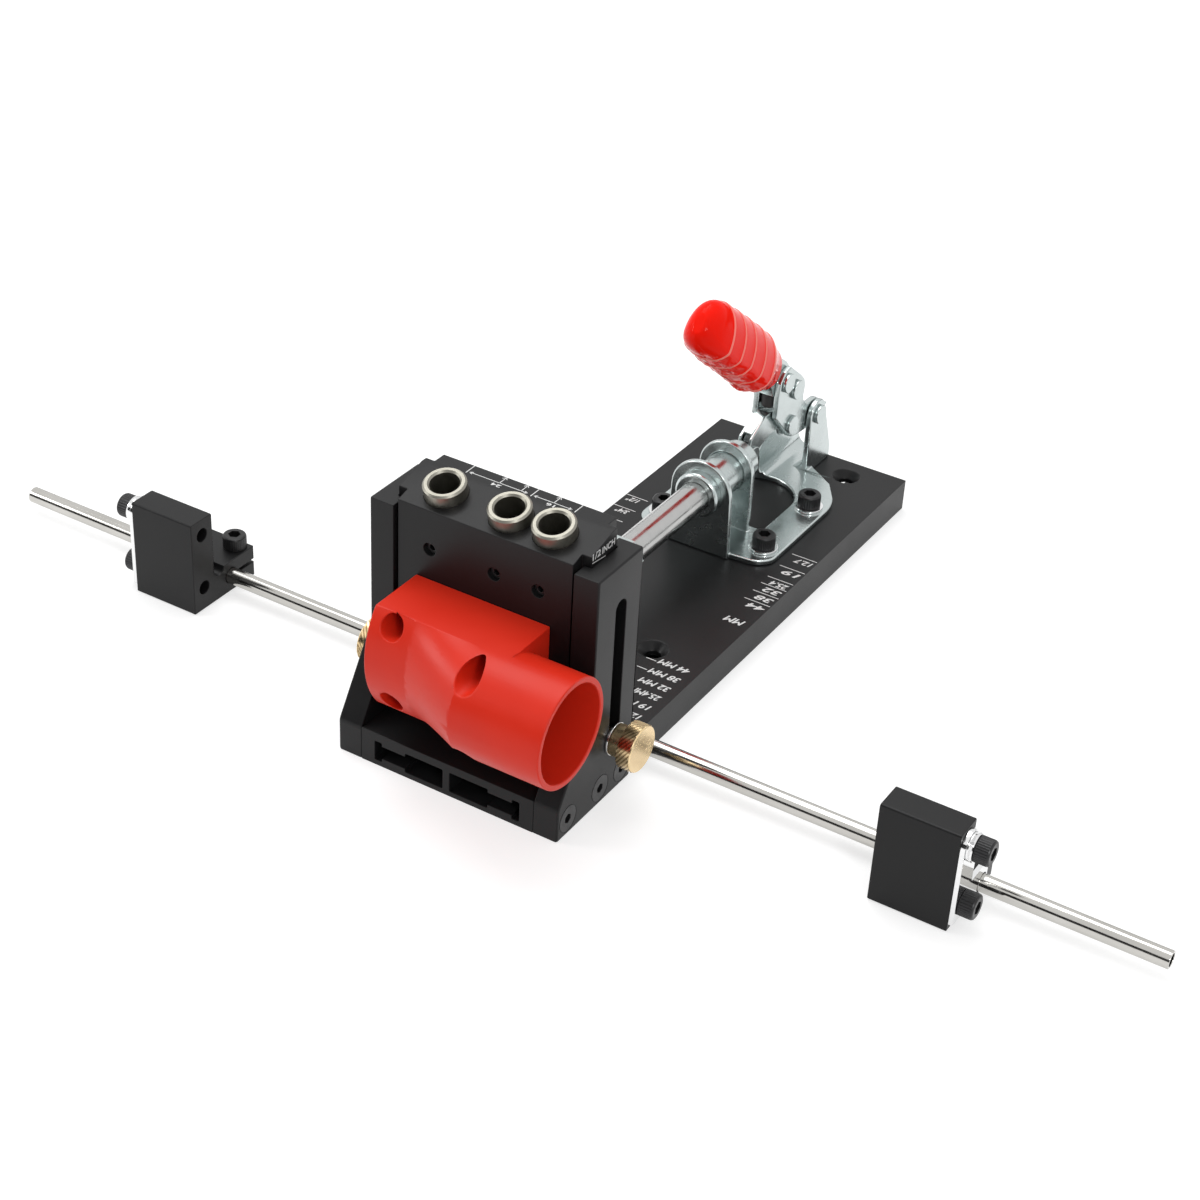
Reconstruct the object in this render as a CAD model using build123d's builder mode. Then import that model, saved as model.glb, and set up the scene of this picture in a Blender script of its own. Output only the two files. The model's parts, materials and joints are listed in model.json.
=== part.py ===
import os
from math import cos, radians, sin, tan

from build123d import *

os.makedirs("parts", exist_ok=True)

# Overall frame, millimetres: X along the rods, Y from the fence to the clamp, Z up
block_half = 32.0
plate_gap = 1.0
plate_in = block_half + plate_gap
plate_t = 9.0
plate_out = plate_in + plate_t
plate_top = 86.8
plate_bend_z = 40.6
plate_foot_z = 12.1
fence_y = 25.5
foot_y = -17.45
base_h = 12.4
base_inset = 1.5
base_w = plate_out - base_inset
base_rear = 229.1
slide_gap = 0.2
fit_gap = 0.05
fixed_gap = 0.02

# Chambers of the extruded base
web_half = 1.35
chamber_out = 27.7
chamber_low = 2.0
chamber_high = 9.3
boss_x = 20.4
boss_half = 4.6
boss_step = 1.3

# Bench screw holes
bench_y = (75.35, 218.2)
bench_r = 2.7
bench_sink_r = 5.4

# Side plate screws, size M5
m5_r = 2.5
side_screw_y = (-11.5, 7.2, 20.2)
side_screw_z = 6.0
sink_head_r = 4.8
sink_head_h = 2.3

# Guide block
block_front = 1.0
block_low = base_h + 0.1
block_top = 93.5
block_ridge_y = 18.0
tilt = 15.0
tongue_out = plate_in + 2.3
tongue_y0 = 6.0
tongue_y1 = 20.5
bush_x = (-20.0, 4.0, 20.0)
bush_face_y = 8.6
bush_face_z = 95.65
bush_bore_r = 4.8
bush_r = 7.0
bush_len = 36.0
block_bore_r = 5.0
set_z = 75.0
set_r = 2.2
set_y0 = 2.6
set_y1 = 6.1
window_low = 36.0
window_high = 54.0
window_half = 3.0

# Dust nozzle
duct_half = 25.0
duct_low = 27.8
duct_high = 64.2
duct_mid_z = (duct_low + duct_high) / 2
duct_r = (duct_high - duct_low) / 2
duct_wall = 2.0
hose_step = 0.6
tube_y = -20.3
tube_end = 47.0
bow_y = 3.0
bow_r = 29.5
bow_end_x = -10.0
tube_start_x = 15.0
nozzle_screw_x = 17.0
nozzle_screw_z = (32.5, 60.0)
nozzle_access_r = 4.0
nozzle_boss_r = 5.4
nozzle_flange = 3.0
m4_r = 2.0
m4_head_r = 3.5
m4_head_h = 3.4

# Height knobs
knob_y = 13.9
knob_z = 21.7
knob_face = plate_out + 10.6
knob_r = 8.1
knob_rim = 0.35
knob_neck_r = 5.2
knob_grip_x = plate_out + 5.2
stud_end = 20.0
washer_t = 1.0
washer_r = 5.6
slot_half = 3.0
slot_top = 73.6

# Rods
rod_y = 34.56
rod_z = 6.5
rod_r = 3.0
rod_wall = 0.8
rod_end = 222.0
rod_seat = 28.5

# Work stops
stop_in = 133.1
stop_w = 26.5
stop_out = stop_in + stop_w
stop_left_shift = 4.2
stop_front = 14.6
stop_fence = 25.6
stop_rear = 47.2
stop_low = 0.3
stop_top = 36.6
stop_relief_r = 2.55
stop_plate_t = 1.6
stop_screw_y = 20.1
stop_screw_z = (9.0, 30.4)
stop_washer_t = 1.0
pinch_y = 43.2
pinch_x = stop_in + 5.2
slit_h = 1.2

# Cap screws, size M5
cap_r = 4.25
cap_h = 5.0
cap_hex = 4.0

# Clamp base
sheet_t = 2.2
flange_top = base_h + sheet_t
flange_half = 27.7
flange_corner = 4.5
flange_round = 7.0
flange_tail_round = 17.0
flange_nose = 1.0
flange_step = 1.2
flange_tail_y = 190.0
axis_z = 36.3
ring_front_y = 139.0
flange_front = ring_front_y + flange_step
ring_front_r = 12.1
ring_front_foot = 12.8
ring_rear_y = 157.0
ring_rear_r = 11.0
ring_rear_lift = 0.9
sleeve_r = 7.6
collar_r = 8.6
collar_y = 135.2
sleeve_end = 168.2
plunger_r = 5.5
plunger_front = 88.0
plunger_round_end = 165.5
opening_half = 14.8
opening_y0 = 161.5
opening_y1 = 182.5
clamp_screw_x = 21.0
clamp_screw_y = (151.0, 186.0)
clamp_washer_t = 1.0
clamp_washer_r = 5.3

# Spindle at the plunger's front end, size M8
spindle_r = 4.0
spindle_tip = 56.7
spindle_head_r = 6.0
spindle_head_h = 5.3
spindle_seat = 24.0
nut_w = 13.0
nut_h = 6.5
pad_front = 53.0
pad_rear = 63.5
pad_r = 8.0

# Clamp linkage, side view positions (Y, Z)
pin_yz = (172.8, axis_z)
link_yz = (196.5, 39.6)
ear_yz = (214.6, 36.9)
rivet_a = (190.2, 59.8)
rivet_b = (198.0, 53.8)
grip_yz = (184.9, 65.2)
grip_rise = 36.5
grip_len = 73.5
bar_half = 3.0
lug_r = 5.0
tang_r = 4.3
link_in = 1.7
link_out = 2.7
tang_half = link_in - fit_gap
hplate_out = 5.3
lobe_r = 5.8
ear_in = 5.6
ear_out = ear_in + sheet_t
ear_r = 5.8
ear_foot_y = 228.0
ear_foot_z = 17.6
left_web = ((195.3, 21.4), (194.0, 25.6), (196.6, 28.0), (200.6, 29.1))
flange_bend = (flange_half - 1.5, 196.0)
flange_slope = (flange_half - 8.0, 205.8)
flange_end_y = 213.8
rivet_r = 2.5
rivet_head_r = 3.7
rivet_head_h = 1.4
pin_head_h = 0.7
bumper_y = 187.4
bumper_r = 2.9
bumper_low = 49.9
bar_under_z = 55.6


def side_plane(x):
    return Plane(origin=(x, 0, 0), x_dir=(0, 1, 0), z_dir=(1, 0, 0))


def front_plane(y):
    return Plane(origin=(0, y, 0), x_dir=(1, 0, 0), z_dir=(0, -1, 0))


def facing(x, y, z, direction):
    return Plane(origin=(x, y, z), z_dir=direction)


def save(item, label):
    item.label = label
    export_step(item, "parts/" + label + ".step")


def save_group(items, label):
    group = Compound(children=list(items))
    group.label = label
    export_step(group, "parts/" + label + ".step")


def cap_screw(shank, radius=m5_r, head_r=cap_r, head_h=cap_h, hex_w=cap_hex):
    with BuildPart() as screw:
        Cylinder(head_r, head_h, align=(Align.CENTER, Align.CENTER, Align.MIN))
        chamfer(screw.edges().group_by(Axis.Z)[-1], length=0.4)
        Cylinder(radius, shank, align=(Align.CENTER, Align.CENTER, Align.MAX))
        with BuildSketch(Plane.XY.offset(head_h)):
            RegularPolygon(hex_w / 2, 6, major_radius=False)
        extrude(amount=-head_h * 0.55, mode=Mode.SUBTRACT)
    return screw.part


def sunk_screw(length):
    with BuildPart() as screw:
        with BuildSketch(Plane.XZ):
            with BuildLine():
                Polyline(
                    (0, 0),
                    (sink_head_r - 0.1, 0),
                    (m5_r, 0.1 - sink_head_h),
                    (m5_r, -length),
                    (0, -length),
                    close=True,
                )
            make_face()
        revolve(axis=Axis.Z)
        with BuildSketch(Plane.XY):
            RegularPolygon(1.5, 6, major_radius=False)
        extrude(amount=-2.2, mode=Mode.SUBTRACT)
    return screw.part


def ring(outer, inner, height):
    with BuildPart() as washer:
        Cylinder(outer, height, align=(Align.CENTER, Align.CENTER, Align.MIN))
        Cylinder(inner, height, align=(Align.CENTER, Align.CENTER, Align.MIN), mode=Mode.SUBTRACT)
    return washer.part


def rivet(half, head_half):
    with BuildPart() as stem:
        with BuildSketch(side_plane(-half)):
            Circle(rivet_r)
        extrude(amount=2 * half)
        for side in (-1, 1):
            with BuildSketch(side_plane(side * half)):
                Circle(rivet_head_r)
            extrude(amount=side * (head_half - half))
    return stem.part


# Base extrusion with chambers, rod seats, bench holes and screw bores
with BuildPart() as base:
    with BuildSketch():
        with BuildLine():
            Polyline(
                (-plate_in, foot_y),
                (plate_in, foot_y),
                (plate_in, fence_y),
                (base_w, fence_y),
                (base_w, base_rear),
                (-base_w, base_rear),
                (-base_w, fence_y),
                (-plate_in, fence_y),
                close=True,
            )
        make_face()
    extrude(amount=base_h)
    with BuildSketch(front_plane(base_rear + 1)):
        for side in (-1, 1):
            with Locations((side * (web_half + chamber_out) / 2, (chamber_low + chamber_high) / 2)):
                Rectangle(chamber_out - web_half, chamber_high - chamber_low)
            with Locations((side * boss_x, chamber_low), (side * boss_x, chamber_high)):
                Rectangle(2 * boss_half, 2 * boss_step, mode=Mode.SUBTRACT)
    extrude(amount=base_rear - foot_y + 2, mode=Mode.SUBTRACT)
    with Locations(*[(s * boss_x, y, base_h) for s in (-1, 1) for y in bench_y]):
        CounterSinkHole(bench_r, bench_sink_r, counter_sink_angle=90)
    with Locations(*[(s * clamp_screw_x, y, base_h) for s in (-1, 1) for y in clamp_screw_y]):
        Hole(m5_r + fixed_gap, depth=base_h - chamber_high + boss_step)
    for side in (-1, 1):
        with BuildSketch(side_plane(side * rod_seat)):
            with Locations((rod_y, rod_z)):
                Circle(rod_r + fixed_gap)
        extrude(amount=side * base_w, mode=Mode.SUBTRACT)
        with BuildSketch(side_plane(side * (chamber_out - 0.5))):
            with Locations(*[(y, side_screw_z) for y in side_screw_y]):
                Circle(m5_r + fixed_gap)
        extrude(amount=side * 8, mode=Mode.SUBTRACT)
save(base.part, "base_plate")

# Right side plate with inner groove, height slot and countersunk foot holes
with BuildPart() as side_plate:
    with BuildSketch(side_plane(plate_in)):
        with BuildLine():
            Polyline(
                (fence_y, 0),
                (fence_y, plate_top),
                (0, plate_top),
                (0, plate_bend_z),
                (foot_y, plate_foot_z),
                (foot_y, 0),
                close=True,
            )
        make_face()
    extrude(amount=plate_t)
    bend = side_plate.edges().filter_by(Axis.X)
    fillet(bend.filter_by_position(Axis.Z, plate_bend_z - 0.1, plate_bend_z + 0.1), radius=8)
    foot = side_plate.edges().filter_by(Axis.X)
    fillet(foot.filter_by_position(Axis.Z, plate_foot_z - 0.1, plate_foot_z + 0.1), radius=4)
    with BuildSketch(side_plane(plate_in)):
        with Locations(((tongue_y0 + tongue_y1) / 2, (base_h + plate_top) / 2)):
            Rectangle(tongue_y1 - tongue_y0 + 2 * slide_gap, plate_top - base_h + 0.01)
    extrude(amount=tongue_out - plate_in + slide_gap, mode=Mode.SUBTRACT)
    with BuildSketch(side_plane(plate_in - 1)):
        with Locations((knob_y, (knob_z - slot_half + slot_top) / 2)):
            SlotOverall(slot_top - knob_z + slot_half, 2 * slot_half, rotation=90)
    extrude(amount=plate_t + 2, mode=Mode.SUBTRACT)
    with Locations(*[facing(plate_out, y, side_screw_z, (1, 0, 0)) for y in side_screw_y]):
        CounterSinkHole(m5_r + fixed_gap, sink_head_r, counter_sink_angle=90)
    outer = side_plate.faces().sort_by(Axis.X)[-1].outer_wire().edges()
    chamfer(outer, length=0.4)
save(side_plate.part, "right_side_plate")
save(mirror(side_plate.part, about=Plane.YZ), "left_side_plate")

foot_screw = sunk_screw(plate_out - chamber_out - 0.3)
save_group(
    [facing(plate_out, y, side_screw_z, (1, 0, 0)).location * foot_screw for y in side_screw_y],
    "right_side_plate_screws",
)
save_group(
    [facing(-plate_out, y, side_screw_z, (-1, 0, 0)).location * foot_screw for y in side_screw_y],
    "left_side_plate_screws",
)

# Guide block with tongues, inclined bores, chip windows and screw bores
slope = tan(radians(tilt))
bush_axis = (0, -sin(radians(tilt)), cos(radians(tilt)))
with BuildPart() as block:
    with BuildSketch(side_plane(-block_half)):
        with BuildLine():
            Polyline(
                (block_front, block_low),
                (fence_y, block_low),
                (fence_y, block_top),
                (block_ridge_y, block_top),
                (block_front, block_top - (block_ridge_y - block_front) * slope),
                close=True,
            )
        make_face()
    extrude(amount=2 * block_half)
    with BuildSketch(side_plane(-tongue_out)):
        with BuildLine():
            Polyline(
                (tongue_y0, block_low),
                (tongue_y1, block_low),
                (tongue_y1, block_top),
                (block_ridge_y, block_top),
                (tongue_y0, block_top - (block_ridge_y - tongue_y0) * slope),
                close=True,
            )
        make_face()
    extrude(amount=2 * tongue_out)
    with Locations(*[facing(x, bush_face_y, bush_face_z, bush_axis) for x in bush_x]):
        Cylinder(
            bush_r + fixed_gap,
            bush_len,
            align=(Align.CENTER, Align.CENTER, Align.MAX),
            mode=Mode.SUBTRACT,
        )
        Cylinder(
            block_bore_r,
            120,
            align=(Align.CENTER, Align.CENTER, Align.MAX),
            mode=Mode.SUBTRACT,
        )
    with BuildSketch(front_plane(block_front)):
        with Locations(*[(x, set_z) for x in bush_x]):
            Circle(set_r + fixed_gap)
    extrude(amount=-6.4, mode=Mode.SUBTRACT)
    with BuildSketch(front_plane(block_front)):
        with Locations(*[(x, (window_low + window_high) / 2) for x in bush_x]):
            Rectangle(2 * window_half, window_high - window_low)
    extrude(amount=-19.3, mode=Mode.SUBTRACT)
    with BuildSketch(front_plane(block_front)):
        with Locations(*[(s * nozzle_screw_x, z) for s in (-1, 1) for z in nozzle_screw_z]):
            Circle(m4_r + fixed_gap)
    extrude(amount=-9.2, mode=Mode.SUBTRACT)
    for side in (-1, 1):
        with BuildSketch(side_plane(side * (stud_end - 0.5))):
            with Locations((knob_y, knob_z)):
                Circle(m5_r + fit_gap)
        extrude(amount=side * 20, mode=Mode.SUBTRACT)
save(block.part, "drill_guide_block")

# Hardened drill bushings
for x, label in zip(bush_x, ("left", "middle", "right")):
    with BuildPart() as bushing:
        with Locations(facing(x, bush_face_y, bush_face_z, bush_axis)):
            Cylinder(bush_r, bush_len, align=(Align.CENTER, Align.CENTER, Align.MAX))
            Cylinder(
                bush_bore_r,
                bush_len,
                align=(Align.CENTER, Align.CENTER, Align.MAX),
                mode=Mode.SUBTRACT,
            )
        mouth = bushing.edges().filter_by(GeomType.CIRCLE).sort_by(Axis.Z)[-2:]
        chamfer(mouth, length=0.6)
    save(bushing.part, label + "_drill_bushing")

with BuildPart() as set_screw:
    Cylinder(set_r, set_y1 - set_y0, align=(Align.CENTER, Align.CENTER, Align.MAX))
    with BuildSketch(Plane.XY):
        RegularPolygon(1.0, 6, major_radius=False)
    extrude(amount=-1.8, mode=Mode.SUBTRACT)
save_group(
    [facing(x, set_y0, set_z, (0, -1, 0)).location * set_screw.part for x in bush_x],
    "bushing_set_screws",
)


# Dust nozzle: bowed duct blended into a round tube, hollow, with screw access holes
def bow_section(plane, wall):
    reach = bow_r - wall
    half = duct_r - wall
    edge = bow_y - (reach * reach - half * half) ** 0.5
    with BuildSketch(plane) as section:
        with BuildLine():
            Polyline(
                (edge, duct_mid_z - half),
                (block_front, duct_mid_z - half),
                (block_front, duct_mid_z + half),
                (edge, duct_mid_z + half),
            )
            ThreePointArc(
                (edge, duct_mid_z + half),
                (bow_y - reach, duct_mid_z),
                (edge, duct_mid_z - half),
            )
        make_face()
    return section.sketch


def round_section(plane, wall):
    half = duct_r - wall
    with BuildSketch(plane) as section:
        with BuildLine():
            Polyline(
                (tube_y, duct_mid_z - half),
                (block_front, duct_mid_z - half),
                (block_front, duct_mid_z + half),
                (tube_y, duct_mid_z + half),
            )
            ThreePointArc(
                (tube_y, duct_mid_z + half),
                (tube_y - half, duct_mid_z),
                (tube_y, duct_mid_z - half),
            )
        make_face()
    return section.sketch


with BuildPart() as nozzle:
    extrude(bow_section(side_plane(-duct_half), 0), amount=duct_half + bow_end_x)
    loft([bow_section(side_plane(bow_end_x), 0), round_section(side_plane(tube_start_x), 0)])
    extrude(round_section(side_plane(tube_start_x), 0), amount=duct_half - tube_start_x)
    with BuildSketch(side_plane(duct_half)):
        with Locations((tube_y, duct_mid_z)):
            Circle(duct_r)
    extrude(amount=tube_end - duct_half)
nozzle_form = nozzle.part

# The duct's skin is thicker than the tube's wall, so that a hose end stops at a small step
duct_skin = duct_wall + hose_step
with BuildPart() as nozzle_core:
    extrude(
        bow_section(side_plane(-duct_half + duct_wall), duct_skin),
        amount=duct_half - duct_wall + bow_end_x,
    )
    loft(
        [
            bow_section(side_plane(bow_end_x), duct_skin),
            round_section(side_plane(tube_start_x), duct_skin),
        ]
    )
    extrude(
        round_section(side_plane(tube_start_x), duct_skin),
        amount=duct_half - duct_wall - tube_start_x,
    )
    with BuildSketch(side_plane(duct_half - duct_wall)):
        with Locations((tube_y, duct_mid_z)):
            Circle(duct_r - duct_wall)
    extrude(amount=tube_end - duct_half + duct_wall + 1)
    with BuildSketch(front_plane(block_front)):
        with Locations(*[(s * nozzle_screw_x, z) for s in (-1, 1) for z in nozzle_screw_z]):
            Circle(nozzle_boss_r)
    extrude(amount=40, mode=Mode.SUBTRACT)

with BuildPart() as nozzle_bores:
    with BuildSketch(front_plane(block_front - nozzle_flange)):
        with Locations(*[(s * nozzle_screw_x, z) for s in (-1, 1) for z in nozzle_screw_z]):
            Circle(nozzle_access_r)
    extrude(amount=40)
    with BuildSketch(front_plane(block_front + 1)):
        with Locations(*[(s * nozzle_screw_x, z) for s in (-1, 1) for z in nozzle_screw_z]):
            Circle(m4_r + 0.1)
    extrude(amount=6)
save(nozzle_form - nozzle_core.part - nozzle_bores.part, "dust_nozzle")

nozzle_screw = cap_screw(nozzle_flange + 8.5, m4_r, m4_head_r, m4_head_h, 3.0)
save_group(
    [
        facing(s * nozzle_screw_x, block_front - nozzle_flange, z, (0, -1, 0)).location * nozzle_screw
        for s in (-1, 1)
        for z in nozzle_screw_z
    ],
    "nozzle_screws",
)

# Right height knob with stud, and its washer
with BuildPart() as knob:
    with BuildSketch(side_plane(stud_end)):
        with Locations((knob_y, knob_z)):
            Circle(m5_r)
    extrude(amount=knob_grip_x - stud_end)
    with BuildSketch(side_plane(plate_out + washer_t + 2 * fit_gap)):
        with Locations((knob_y, knob_z)):
            Circle(knob_neck_r)
    extrude(amount=knob_grip_x - plate_out - washer_t)
    with BuildSketch(side_plane(knob_grip_x)):
        with Locations((knob_y, knob_z)):
            Circle(knob_r)
    extrude(amount=knob_face - knob_grip_x)
    rims = knob.edges().filter_by(GeomType.CIRCLE)
    chamfer(rims.filter_by_position(Axis.X, knob_face - 0.1, knob_face + 0.1), length=knob_rim)
save(knob.part, "right_height_knob")
save(mirror(knob.part, about=Plane.YZ), "left_height_knob")
knob_washer = facing(plate_out + fit_gap, knob_y, knob_z, (1, 0, 0)).location * ring(
    washer_r, m5_r + 0.3, washer_t
)
save(knob_washer, "right_knob_washer")
save(mirror(knob_washer, about=Plane.YZ), "left_knob_washer")

# Right rod, a stainless tube
with BuildPart() as rod:
    with BuildSketch(side_plane(rod_seat)):
        with Locations((rod_y, rod_z)):
            Circle(rod_r)
            Circle(rod_r - rod_wall, mode=Mode.SUBTRACT)
    extrude(amount=rod_end - rod_seat)
save(rod.part, "right_rod")
save(mirror(rod.part, about=Plane.YZ), "left_rod")

# Right work stop, an L section with relief groove, rod bore, slit and screw bores
with BuildPart() as stop:
    with BuildSketch(side_plane(stop_in)):
        with BuildLine():
            Polyline(
                (stop_front, stop_low),
                (stop_rear, stop_low),
                (stop_rear, base_h),
                (stop_fence, base_h),
                (stop_fence, stop_top),
                (stop_front, stop_top),
                close=True,
            )
        make_face()
        with Locations((stop_fence + stop_relief_r, base_h)):
            Circle(stop_relief_r, mode=Mode.SUBTRACT)
        with Locations((rod_y, rod_z)):
            Circle(rod_r + fit_gap, mode=Mode.SUBTRACT)
        with Locations(*[(stop_screw_y, z) for z in stop_screw_z]):
            Circle(m5_r + fixed_gap, mode=Mode.SUBTRACT)
    extrude(amount=stop_w)
    with Locations((stop_in + stop_w / 2, (rod_y + rod_r + stop_rear) / 2, rod_z)):
        Box(stop_w + 2, stop_rear - rod_y - rod_r + 1, slit_h, mode=Mode.SUBTRACT)
    with Locations((pinch_x, pinch_y, base_h)):
        Hole(m5_r + fixed_gap, depth=base_h - stop_low + 1)
    rims = stop.edges().filter_by(Axis.X)
    chamfer(rims.filter_by_position(Axis.Z, stop_top - 0.1, stop_top + 0.1), length=0.4)
save(stop.part, "right_stop_block")

with BuildPart() as face_plate:
    with BuildSketch(side_plane(stop_out)):
        with BuildLine():
            Polyline(
                (stop_front + 0.2, 3.0),
                (38.3, 3.0),
                (38.3, 13.5),
                (2 * stop_screw_y - stop_front - 0.2, 13.5),
                (2 * stop_screw_y - stop_front - 0.2, stop_screw_z[1]),
            )
            ThreePointArc(
                (2 * stop_screw_y - stop_front - 0.2, stop_screw_z[1]),
                (stop_screw_y, stop_screw_z[1] + stop_screw_y - stop_front - 0.2),
                (stop_front + 0.2, stop_screw_z[1]),
            )
            Line((stop_front + 0.2, stop_screw_z[1]), (stop_front + 0.2, 3.0))
        make_face()
        with Locations((rod_y, rod_z)):
            Circle(rod_r + 0.35, mode=Mode.SUBTRACT)
        with Locations(*[(stop_screw_y, z) for z in stop_screw_z]):
            Circle(m5_r + 0.1, mode=Mode.SUBTRACT)
    extrude(amount=stop_plate_t)
save(face_plate.part, "right_stop_plate")

stop_face = stop_out + stop_plate_t
stop_washers = [
    facing(stop_face + k * stop_washer_t, stop_screw_y, stop_screw_z[1], (1, 0, 0)).location
    * ring(cap_r + 0.5, m5_r + 0.1, stop_washer_t)
    for k in (0, 1)
]
stop_screws = [
    facing(stop_face, stop_screw_y, stop_screw_z[0], (1, 0, 0)).location * cap_screw(20),
    facing(stop_face + 2 * stop_washer_t, stop_screw_y, stop_screw_z[1], (1, 0, 0)).location
    * cap_screw(20),
]
pinch = facing(pinch_x, pinch_y, base_h, (0, 0, 1)).location * cap_screw(base_h - stop_low - 0.8)
save_group(stop_washers, "right_stop_washers")
save_group(stop_screws, "right_stop_screws")
save(pinch, "right_pinch_screw")

shift = Location((stop_left_shift, 0, 0))
save(shift * mirror(stop.part, about=Plane.YZ), "left_stop_block")
save(shift * mirror(face_plate.part, about=Plane.YZ), "left_stop_plate")
save_group([shift * mirror(item, about=Plane.YZ) for item in stop_washers], "left_stop_washers")
save_group([shift * mirror(item, about=Plane.YZ) for item in stop_screws], "left_stop_screws")
save(shift * mirror(pinch, about=Plane.YZ), "left_pinch_screw")

# Clamp base bent from one sheet
with BuildPart() as clamp_base:
    with BuildSketch(Plane.XY.offset(base_h)):
        with BuildLine():
            Polyline(
                (-flange_half, flange_front + flange_nose + flange_corner),
                (-flange_half + flange_corner, flange_front + flange_nose),
                (-ring_front_foot, flange_front),
                (ring_front_foot, flange_front),
                (flange_half - flange_corner, flange_front + flange_nose),
                (flange_half, flange_front + flange_nose + flange_corner),
                (flange_half, flange_tail_y),
                flange_bend,
                flange_slope,
                (ear_out, flange_end_y),
                (ear_out, ear_foot_y),
                (-ear_out, ear_foot_y),
                (-ear_out, flange_end_y),
                (-flange_slope[0], flange_slope[1]),
                (-flange_bend[0], flange_bend[1]),
                (-flange_half, flange_tail_y),
                close=True,
            )
        make_face()
    extrude(amount=sheet_t)
    corners = clamp_base.edges().filter_by(Axis.Z)
    nose_y = flange_front + flange_nose
    fillet(corners.filter_by_position(Axis.Y, nose_y - 0.1, nose_y + flange_corner + 0.1), radius=flange_round)
    tails = clamp_base.edges().filter_by(Axis.Z)
    tails = tails.filter_by_position(Axis.Y, flange_tail_y - 0.1, flange_bend[1] + 0.1)
    fillet(tails, radius=flange_tail_round)
    with BuildSketch(front_plane(ring_front_y)):
        with Locations((0, axis_z)):
            Circle(ring_front_r)
        with BuildLine():
            Polyline(
                (-ring_front_foot, base_h),
                (ring_front_foot, base_h),
                (ring_front_r, axis_z),
                (-ring_front_r, axis_z),
                close=True,
            )
        make_face()
    extrude(amount=-sheet_t)
    with BuildSketch(front_plane(ring_rear_y)):
        with Locations((0, axis_z + ring_rear_lift)):
            Circle(ring_rear_r)
        with Locations((0, (base_h + axis_z + ring_rear_lift) / 2)):
            Rectangle(2 * ring_rear_r, axis_z + ring_rear_lift - base_h)
    extrude(amount=-sheet_t)
    for side, web in ((-1, left_web), (1, ((ear_yz[0] - ear_r, ear_foot_z),))):
        with BuildSketch(side_plane(side * ear_in)):
            with BuildLine():
                Polyline(
                    (web[0][0], base_h),
                    *web,
                    (ear_yz[0] - ear_r, ear_yz[1]),
                    (ear_yz[0] + ear_r * 0.9, ear_yz[1] + ear_r * 0.44),
                    (ear_foot_y, ear_foot_z),
                    (ear_foot_y, base_h),
                    close=True,
                )
            make_face()
            with Locations(ear_yz):
                Circle(ear_r)
        extrude(amount=side * (ear_out - ear_in))
    inside = clamp_base.edges().filter_by(Axis.Y).filter_by_position(Axis.Z, flange_top - 0.01, flange_top + 0.01)
    fillet(inside.filter_by_position(Axis.X, -ear_in - 0.1, ear_in + 0.1), radius=4)
    with BuildSketch(Plane.XY.offset(base_h - 1)):
        with Locations((0, (opening_y0 + opening_y1) / 2)):
            Rectangle(2 * opening_half, opening_y1 - opening_y0)
        with Locations((0, opening_y1)):
            Circle(opening_half)
        with Locations((0, opening_y1 - 5)):
            Rectangle(2 * opening_half, 10)
    extrude(amount=sheet_t + 2, mode=Mode.SUBTRACT)
    with Locations(*[(s * clamp_screw_x, y, flange_top) for s in (-1, 1) for y in clamp_screw_y]):
        Hole(m5_r + 0.2, depth=sheet_t + 1)
    with BuildSketch(front_plane(ring_front_y - 1)):
        with Locations((0, axis_z)):
            Circle(sleeve_r + fixed_gap)
    extrude(amount=-ring_rear_y + ring_front_y - sheet_t - 2, mode=Mode.SUBTRACT)
    with BuildSketch(side_plane(-ear_out - 1)):
        with Locations(ear_yz):
            Circle(rivet_r + fixed_gap)
    extrude(amount=2 * ear_out + 2, mode=Mode.SUBTRACT)
save(clamp_base.part, "clamp_base")

with BuildPart() as sleeve:
    with BuildSketch(front_plane(collar_y)):
        with Locations((0, axis_z)):
            Circle(collar_r)
    extrude(amount=-(ring_front_y - collar_y))
    chamfer(sleeve.edges().group_by(Axis.Y)[0], length=0.8)
    with BuildSketch(front_plane(collar_y)):
        with Locations((0, axis_z)):
            Circle(sleeve_r)
    extrude(amount=-(sleeve_end - collar_y))
    with BuildSketch(front_plane(collar_y)):
        with Locations((0, axis_z)):
            Circle(plunger_r + fit_gap)
    extrude(amount=-(sleeve_end - collar_y), mode=Mode.SUBTRACT)
save(sleeve.part, "clamp_sleeve")

# Plunger with a flat tang at its rear end and a threaded front end
with BuildPart() as plunger:
    with BuildSketch(front_plane(plunger_front)):
        with Locations((0, axis_z)):
            Circle(plunger_r)
    extrude(amount=-(plunger_round_end - plunger_front))
    chamfer(plunger.edges().group_by(Axis.Y)[0], length=0.6)
    with BuildSketch(side_plane(-tang_half)):
        with Locations(((plunger_round_end + pin_yz[0]) / 2 - 1, axis_z)):
            Rectangle(pin_yz[0] - plunger_round_end + 2, 2 * tang_r)
        with Locations(pin_yz):
            Circle(tang_r)
    extrude(amount=2 * tang_half)
    with BuildSketch(side_plane(-plunger_r)):
        with Locations(pin_yz):
            Circle(rivet_r + fixed_gap)
    extrude(amount=2 * plunger_r, mode=Mode.SUBTRACT)
    with BuildSketch(front_plane(plunger_front)):
        with Locations((0, axis_z)):
            Circle(spindle_r + fixed_gap)
    extrude(amount=-spindle_seat, mode=Mode.SUBTRACT)
save(plunger.part, "clamp_plunger")

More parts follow.
